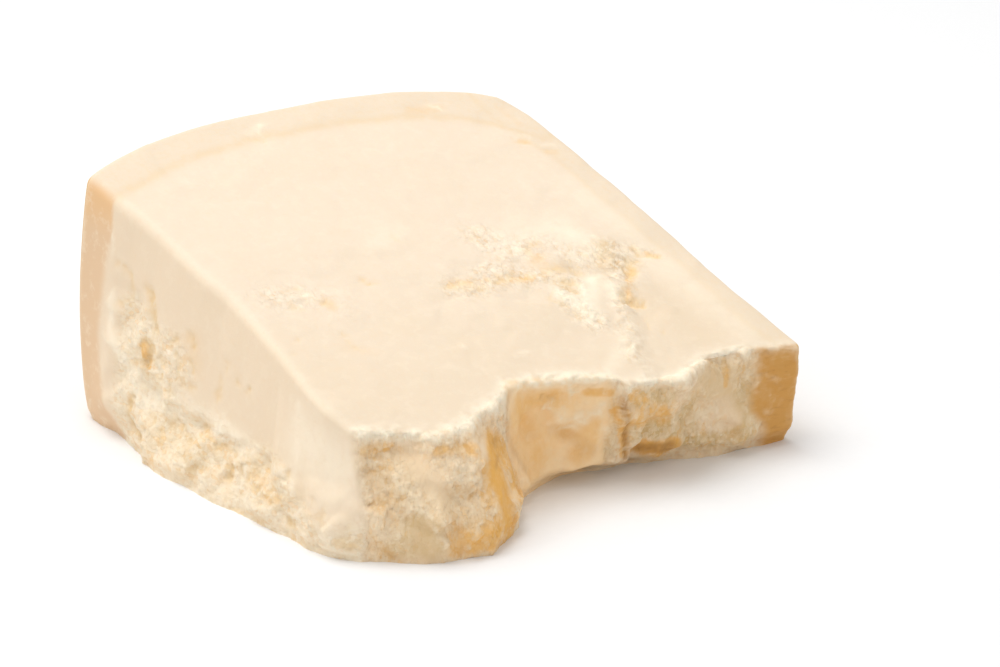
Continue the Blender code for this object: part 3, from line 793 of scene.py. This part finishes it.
# Materials.
def tone(red, green, blue):
    """A colour given as it shows on a screen, 0 to 255, as linear values."""
    shown = np.array([red, green, blue]) / 255.0
    linear = np.where(shown <= 0.04045, shown / 12.92, ((shown + 0.055) / 1.055) ** 2.4)
    return (*linear.tolist(), 1.0)


def set_sockets(node, sockets):
    """Link a node's sockets to wires, or set their values."""
    for name, value in sockets.items():
        if isinstance(value, Wire):
            value.tree.links.new(value.socket, node.inputs[name])
        else:
            node.inputs[name].default_value = value


class Wire:
    """One output of a material's nodes. Sums and products on it add Math nodes."""

    def __init__(self, tree, socket):
        self.tree = tree
        self.socket = socket

    def node(self, kind, settings=None, sockets=None, output=0):
        """Add a shader node: its settings first, then its sockets' values or links."""
        node = self.tree.nodes.new("ShaderNode" + kind)
        for name, value in (settings or {}).items():
            setattr(node, name, value)
        set_sockets(node, sockets or {})
        return Wire(self.tree, node.outputs[output])

    def math(self, operation, first, second):
        """A Math node of two values, its result kept as it is."""
        return self.node("Math", {"operation": operation}, {0: first, 1: second})

    def __add__(self, other):
        return self.math("ADD", self, other)

    __radd__ = __add__

    def __sub__(self, other):
        return self.math("SUBTRACT", self, other)

    def __rsub__(self, other):
        return self.math("SUBTRACT", other, self)

    def __mul__(self, other):
        return self.math("MULTIPLY", self, other)

    __rmul__ = __mul__

    def ramp(self, start, end, low=0.0, high=1.0):
        """Smooth rise from low at start to high at end."""
        settings = {"interpolation_type": "SMOOTHSTEP"}
        return self.node("MapRange", settings, {0: self, 1: start, 2: end, 3: low, 4: high})

    def colour_mix(self, share, first, second):
        """The first colour where share is 0 and the second where it is 1."""
        return self.node("Mix", {"data_type": "RGBA"}, {0: share, 6: first, 7: second}, 2)

    def coated(self, *coats):
        """This colour under coats of other ones, each laid on by its share."""
        colour = self
        for share, shade in coats:
            colour = self.colour_mix(share, colour, shade)
        return colour

    def between(self, firsts, seconds):
        """The first values where this is 0 and the second ones where it is 1."""
        return [first * (1.0 - self) + second * self for first, second in zip(firsts, seconds)]

    def share(self, name):
        """A value kept on the mesh's points."""
        return self.node("Attribute", {"attribute_name": name}, output=2)

    def other(self, output):
        """Another output of the same node."""
        return Wire(self.tree, self.socket.node.outputs[output])

    def vector(self, operation, *rest, output=0):
        """A Vector Math node of this and the rest."""
        sockets = dict(enumerate((self, *rest)))
        return self.node("VectorMath", {"operation": operation}, sockets, output)

    def noise(self, scale, detail=2.0, roughness=0.5):
        """Smooth noise of so many features to the metre."""
        sockets = {"Vector": self, "Scale": scale, "Detail": detail, "Roughness": roughness}
        return self.node("TexNoise", None, sockets)

    def cells(self, scale):
        """Distance from the nearest of many scattered points, so many to the metre."""
        return self.node("TexVoronoi", None, {"Vector": self, "Scale": scale})

    def breaks(self, scale, stretch):
        """Facets of a fracture, so many to the metre and so stretched: each one's own value from
        0 to 1, and the height of its tilted plane, (colour - 1/2) . (place - middle) scale."""
        place = self.vector("MULTIPLY", stretch)
        bent = place.noise(1.3 * scale).other(1).vector("MULTIPLY_ADD", (0.5 / scale,) * 3, place)
        cell = bent.cells(scale)
        colour = cell.other("Color")
        away = bent.vector("SUBTRACT", cell.other("Position"))
        lean = colour.vector("SUBTRACT", (0.5, 0.5, 0.5)).vector("DOT_PRODUCT", away, output="Value")
        return colour.node("SeparateColor", None, {0: colour}), lean * scale


PASTE_TOP = tone(232, 214, 191)
PASTE_WARM = tone(229, 210, 184)
PASTE_LEFT = tone(236, 214, 185)
PASTE_BROKEN = tone(244, 225, 193)
PASTE_FRONT = tone(236, 208, 171)
# Golden paste, also used as painted shade in the gold patches and the darker facets.
PASTE_GOLD = tone(234, 178, 93)
PASTE_SCOOP = tone(251, 216, 167)
PASTE_OLIVE = tone(208, 176, 122)
# Painted shade for hollows: golden in front, paler on the top and the left.
PASTE_HOLLOW_SHADE = tone(214, 166, 98)
PASTE_DIP_SHADE = tone(232, 198, 144)
# Painted shade for cracks, pits and the scoop's border.
PASTE_BROWN_SHADE = tone(168, 118, 64)
# Pale and creamy paste, also used for painted highlights on crests and pale patches.
PASTE_PALE = tone(252, 238, 214)
PASTE_CREAM = tone(246, 226, 194)
# Paler rims: partly dry paste, partly a painted highlight.
RIM_PALE_AND_HIGHLIGHT = tone(252, 240, 216)
RIND_BAND = tone(225, 207, 182)
RIND_SEAM = tone(224, 196, 154)
RIND_CUT = tone(228, 195, 158)
RIND_TOP = tone(236, 190, 136)
RIND_FRONT = tone(208, 154, 82)
RIND_PALE = tone(228, 192, 140)
RIND_OUTER = tone(216, 176, 118)
RIND_DARK = tone(186, 134, 72)
PAPER_TONES = (tone(235, 235, 235), tone(238, 238, 238))

# A little light sinks into the paste, red the deepest, and little is mirrored.
SOFT_LIGHT = {
    "Subsurface Weight": 0.1, "Subsurface Radius": (1.0, 0.75, 0.5), "Subsurface Scale": 0.8 * MM,
    "Specular IOR Level": 0.25,
}
BUMP_DEPTH = 0.4 * MM

# Patterns of noise: features to the metre, detail and roughness.
CLOUDING = (45.0, 3.0)
MOTTLE = (230.0, 4.0, 0.65)
GRAIN = (560.0, 3.0, 0.65)
FINE_GRAIN = (1400.0, 3.0, 0.65)
STREAKS = (520.0, 3.0, 0.6)
STREAK_STRETCH = (0.25, 1.0, 1.0)
BLOTCHES = (60.0, 5.0, 0.6)
TOOTH = (400.0, 3.0)
# Patterns of cells and of broken facets, so many to the metre, and the stretch of upright ones.
SPECKS = 480.0
WHITE_SPOTS = 260.0
COARSE_BREAKS = 400.0
FINE_BREAKS = 900.0
UPRIGHT = (1.0, 1.0, 0.5)
# Where the top starts to grow warm and is warmest, in metres along Y, and where the left's rind
# does, in metres along Z.
WARM_BACK = (0.02, -0.07)
WARM_ABOVE = (0.060, 0.074)


def new_material(name):
    """A material with a shader alone: the material, its shader and its object coordinates."""
    material = bpy.data.materials.new(name)
    material.use_nodes = True
    tree = material.node_tree
    coordinates = tree.nodes.new("ShaderNodeTexCoord")
    return material, tree.nodes["Principled BSDF"], Wire(tree, coordinates.outputs["Object"])


class Cheese:
    """What the tones are mixed from: shares kept on the points, and patterns of noise."""

    def __init__(self, place):
        self.place = place
        self.top, self.left, self.front = map(place.share, ("top", "left", "front"))
        self.section, self.outer, self.gold = map(place.share, ("section", "outer", "gold"))
        self.broken = place.share("broken")
        crumbly = self.broken + 0.6 * place.share("crumble")
        self.rough = (crumbly * (1.0 - 0.8 * self.section)).ramp(0.0, 1.0)
        self.pale_tone = place.colour_mix(self.front, PASTE_PALE, PASTE_CREAM)
        self.mottle = place.noise(*MOTTLE)
        self.grain = place.noise(*GRAIN)
        self.fine = place.noise(*FINE_GRAIN)
        self.specks = place.cells(SPECKS)
        self.chunk_own, self.chunk_lean = self.breaks(COARSE_BREAKS)
        self.chip_own, self.chip_lean = self.breaks(FINE_BREAKS)

    def breaks(self, scale):
        """Facets that stand upright on the front and lie flat elsewhere."""
        return self.front.between(self.place.breaks(scale, LYING), self.place.breaks(scale, UPRIGHT))

    def height(self):
        """Grain all over, more of it where the paste is rough, with specks and facets there."""
        grain = (0.1 + 0.4 * self.rough) * (self.grain + 0.5 * self.fine)
        leans = 1.8 * self.chunk_lean + 0.9 * self.chip_lean
        return grain + 0.2 * self.rough * self.specks + self.rough * leans + 0.5 * self.outer * self.mottle


def paste_colour(cheese):
    """Paste: warmer towards the front of the top and yellower on the broken faces, and flecked
    gold and pale where it is rough; its gold patches are partly painted shade, and its facets are
    paler or more golden at random, partly painted light and shade of their tilts."""
    place, left, gold, rough = cheese.place, cheese.left, cheese.gold, cheese.rough
    mottle, grain, pale_tone = cheese.mottle, cheese.grain, cheese.pale_tone
    whitening = rough * (1.0 - 0.75 * gold)
    yellowing = rough * (1.0 - 0.5 * left)
    back = place.node("SeparateXYZ", None, {"Vector": place}, "Y")
    warmth = 0.35 * place.noise(*CLOUDING).ramp(0.6, 0.35) + back.ramp(*WARM_BACK)
    # Gold patches, partly painted shade, with each coarse facet nudged into or out of them.
    golden_and_shade = (gold + 0.5 * rough * gold.ramp(0.0, 0.2) * (cheese.chunk_own - 0.5)).ramp(0.1, 0.85)
    return place.colour_mix(warmth.ramp(0.0, 1.2), PASTE_TOP, PASTE_WARM).coated(
        (left * 0.9, PASTE_LEFT),
        (cheese.broken * left * 0.7, PASTE_BROKEN),
        (cheese.front * 0.9, PASTE_FRONT),
        (place.share("olive") * mottle.ramp(0.2, 0.6, 0.6, 1.0), PASTE_OLIVE),
        (place.share("scoop") * 0.9, PASTE_SCOOP),
        (golden_and_shade * mottle.ramp(0.25, 0.5, 0.75, 1.0), PASTE_GOLD),
        # Facets paler or more golden at random, partly painted light and shade of their tilts.
        (cheese.chunk_own.ramp(0.6, 0.7) * 0.3 * whitening, pale_tone),
        (cheese.chip_own.ramp(0.7, 0.8) * 0.3 * whitening, pale_tone),
        (cheese.chip_own.ramp(0.2, 0.1) * 0.25 * rough, PASTE_GOLD),
        (mottle.ramp(0.52, 0.62) * (0.08 + 0.2 * whitening), pale_tone),
        (mottle.ramp(0.44, 0.34) * (0.02 + 0.1 * yellowing), PASTE_GOLD),
        (grain.ramp(0.42, 0.32) * (0.04 + 0.2 * yellowing), PASTE_GOLD),
        (grain.ramp(0.56, 0.66) * (0.05 + 0.25 * whitening), pale_tone),
        # Painted shade, in the hollows' tone, in the small pits that the specks make.
        (cheese.specks.ramp(0.3, 0.08) * 0.2 * rough, PASTE_HOLLOW_SHADE),
        (place.cells(WHITE_SPOTS).ramp(0.14, 0.05) * 0.5 * whitening, PASTE_PALE),
    )


def with_cut_rind(cheese, colour):
    """Rind where the cuts go through it: pale on the top, warm on the left, streaked in front."""
    place, mottle, section = cheese.place, cheese.mottle, cheese.section
    above = place.node("SeparateXYZ", None, {"Vector": place}, "Z")
    band = place.colour_mix(cheese.grain.ramp(0.45, 0.68) * 0.5, RIND_BAND, RIND_SEAM)
    side = place.colour_mix(above.ramp(*WARM_ABOVE) * 0.7, RIND_CUT, RIND_TOP)
    side = side.coated((mottle.ramp(0.5, 0.7) * 0.3, PASTE_PALE))
    drawn = place.node("Mapping", None, {"Vector": place, "Scale": STREAK_STRETCH})
    streaks = drawn.noise(*STREAKS)
    front = place.colour_mix(streaks.ramp(0.55, 0.75) * 0.3, RIND_FRONT, RIND_PALE)
    front = front.coated((streaks.ramp(0.46, 0.3) * 0.5, RIND_DARK))
    return colour.coated(
        (section * cheese.top * 0.5, band),
        (place.share("seam") * mottle.ramp(0.3, 0.6, 0.2, 0.5), RIND_SEAM),
        (section * cheese.left, side),
        (section * cheese.front, front),
    )


def with_painted_shade_and_highlights(cheese, colour):
    """Painted shade, yellower in the hollows and brown in cracks and pits, and paler crests, rims and
    patches, partly dry or pale paste and partly a painted highlight.
    """
    place, mottle, grain = cheese.place, cheese.mottle, cheese.grain
    return colour.coated(
        # Painted shade in the hollows, yellower.
        (place.share("hollow_shade") * 0.65, place.colour_mix(cheese.front, PASTE_DIP_SHADE, PASTE_HOLLOW_SHADE)),
        # Painted shade, brown, in cracks and pits and along the scoop's border.
        (place.share("brown_shade"), PASTE_BROWN_SHADE),
        # Pale patches: pale paste, partly a painted highlight.
        (place.share("pale") * mottle.ramp(0.25, 0.55, 0.5, 0.9), cheese.pale_tone),
        # Crests paler: partly dry paste, partly a painted highlight.
        (place.share("crest_pale_and_highlight") * grain.ramp(0.3, 0.55, 0.3, 0.8), cheese.pale_tone),
        # Rims paler: partly dry paste, partly a painted highlight of the rounded edges.
        (place.share("rim") * grain.ramp(0.3, 0.5, 0.6, 1.0), RIM_PALE_AND_HIGHLIGHT),
    )


def with_outer_rind(cheese, colour):
    """The wheel's own skin on the heel and the flat side: blotched, mottled and finely specked."""
    outer = cheese.outer
    blotches = cheese.place.noise(*BLOTCHES).ramp(0.35, 0.7)
    rind = cheese.place.colour_mix(blotches * 0.5, RIND_OUTER, RIND_DARK).coated(
        (cheese.mottle.ramp(0.5, 0.65) * 0.35, RIND_PALE),
        (cheese.fine.ramp(0.42, 0.3) * 0.3, RIND_DARK),
    )
    corner = outer.ramp(0.1, 0.4) * (cheese.left + cheese.front).ramp(0.05, 0.3)
    return colour.coated((corner, RIND_OUTER), (outer.ramp(0.65, 0.97), rind))


def cheese_material():
    """Ivory paste, grainy and yellower where broken, with drier rind at its cut edges."""
    material, shader, place = new_material("grainy_paste_and_rind")
    cheese = Cheese(place)
    colour = with_painted_shade_and_highlights(cheese, with_cut_rind(cheese, paste_colour(cheese)))
    colour = with_outer_rind(cheese, colour)
    roughness = 0.6 + 0.15 * cheese.rough + 0.1 * cheese.mottle
    bump = {"Strength": 1.0, "Distance": BUMP_DEPTH, "Height": cheese.height()}
    normal = place.node("Bump", None, bump)
    looks = {"Base Color": colour, "Roughness": roughness, "Normal": normal, **SOFT_LIGHT}
    set_sockets(shader, looks)
    return material


def floor_material():
    """Matt white paper with a barely seen tooth."""
    material, shader, place = new_material("white_paper")
    tooth = place.noise(*TOOTH)
    colour = place.colour_mix(tooth, *PAPER_TONES)
    set_sockets(shader, {"Base Color": colour, "Roughness": 0.85 + 0.1 * tooth})
    return material


# The camera, the floor and the light.
AZIMUTH = math.radians(-35.0)
ELEVATION = math.radians(21.0)
CAMERA_AWAY = 1.10
CAMERA_REACH = 20.0
LENS_MM = 118.8
SENSOR_MM = 36.0
AIM = Vector((0.065569, 0.055474, 0.0))
FLOOR_SIDE = 8.0
SURROUND_STRENGTH = 0.7
KEY_PLACE = Vector((-0.3, 0.4, 1.5))
KEY_AIM = Vector((0.0, 0.0, 0.04))
KEY_SIDE = 1.2
KEY_POWER = 18.0


def place_camera():
    """A long lens, level, looking down on the front left corner."""
    data = bpy.data.cameras.new("view")
    data.sensor_width = SENSOR_MM
    data.lens = LENS_MM
    data.clip_end = CAMERA_REACH
    camera = put("view", data)
    flat = math.cos(ELEVATION)
    away = Vector((math.sin(AZIMUTH) * flat, -math.cos(AZIMUTH) * flat, math.sin(ELEVATION)))
    camera.location = AIM + CAMERA_AWAY * away
    camera.rotation_euler = (math.pi / 2 - ELEVATION, 0.0, AZIMUTH)
    bpy.context.scene.camera = camera


def lay_floor():
    """One wide sheet just under the chunk."""
    side = FLOOR_SIDE / 2
    mesh = bpy.data.meshes.new("floor")
    corners = [(-side, -side, 0), (side, -side, 0), (side, side, 0), (-side, side, 0)]
    mesh.from_pydata(corners, [], [(0, 1, 2, 3)])
    mesh.materials.append(floor_material())
    floor = put("floor", mesh)


def hang_key():
    """A square light behind on the left that faces the chunk."""
    data = bpy.data.lights.new("key", "AREA")
    data.size = KEY_SIDE
    data.energy = KEY_POWER
    lamp = put("key", data)
    lamp.location = KEY_PLACE
    lamp.rotation_euler = (KEY_AIM - KEY_PLACE).to_track_quat("-Z", "Y").to_euler()


def light_studio():
    """An even white surround with the key light, and plain screen tones."""
    world = bpy.data.worlds.new("surround")
    world.use_nodes = True
    background = world.node_tree.nodes["Background"]
    background.inputs["Color"].default_value = (1.0, 1.0, 1.0, 1.0)
    background.inputs["Strength"].default_value = SURROUND_STRENGTH
    bpy.context.scene.world = world
    hang_key()
    bpy.context.scene.view_settings.view_transform = "Standard"


place_camera()
lay_floor()
light_studio()
chunk(cheese_material())
